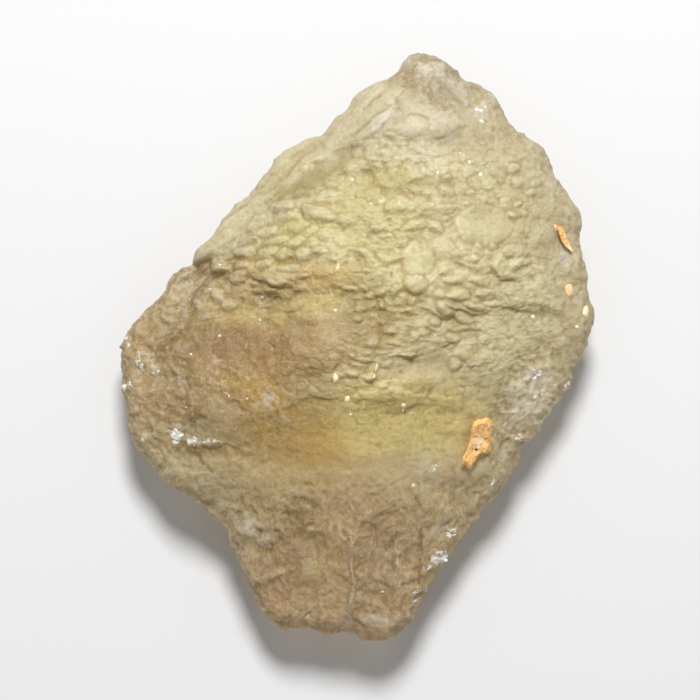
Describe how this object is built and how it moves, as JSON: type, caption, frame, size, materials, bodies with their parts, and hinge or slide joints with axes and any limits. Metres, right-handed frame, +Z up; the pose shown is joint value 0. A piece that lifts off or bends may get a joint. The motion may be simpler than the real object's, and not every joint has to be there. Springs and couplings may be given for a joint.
{
  "type": "raw desert glass stone",
  "caption": "Flat, kite-shaped piece of raw wind-worn natural silica glass with a lumpy, ledged face and baked ochre sand in its hollows, resting on its broad flat underside.",
  "frame": {"origin": "on the resting surface, under the middle of the piece's bounding box", "axes": "+Y towards the pointed end (the longest extent), +X to the right when the face is seen from above, +Z up through the thickness (the shortest extent)"},
  "size_m": [0.0666, 0.082, 0.024],
  "materials": {
    "natural_glass": "pale yellow-olive translucent silica glass, smoky brown where thick, satin from wind wear",
    "baked_sand": null
  },
  "bodies": {
    "root": {"desert_glass": "natural_glass", "sand_crust": "baked_sand", "sand_sliver": "baked_sand"}
  },
  "joints": []
}
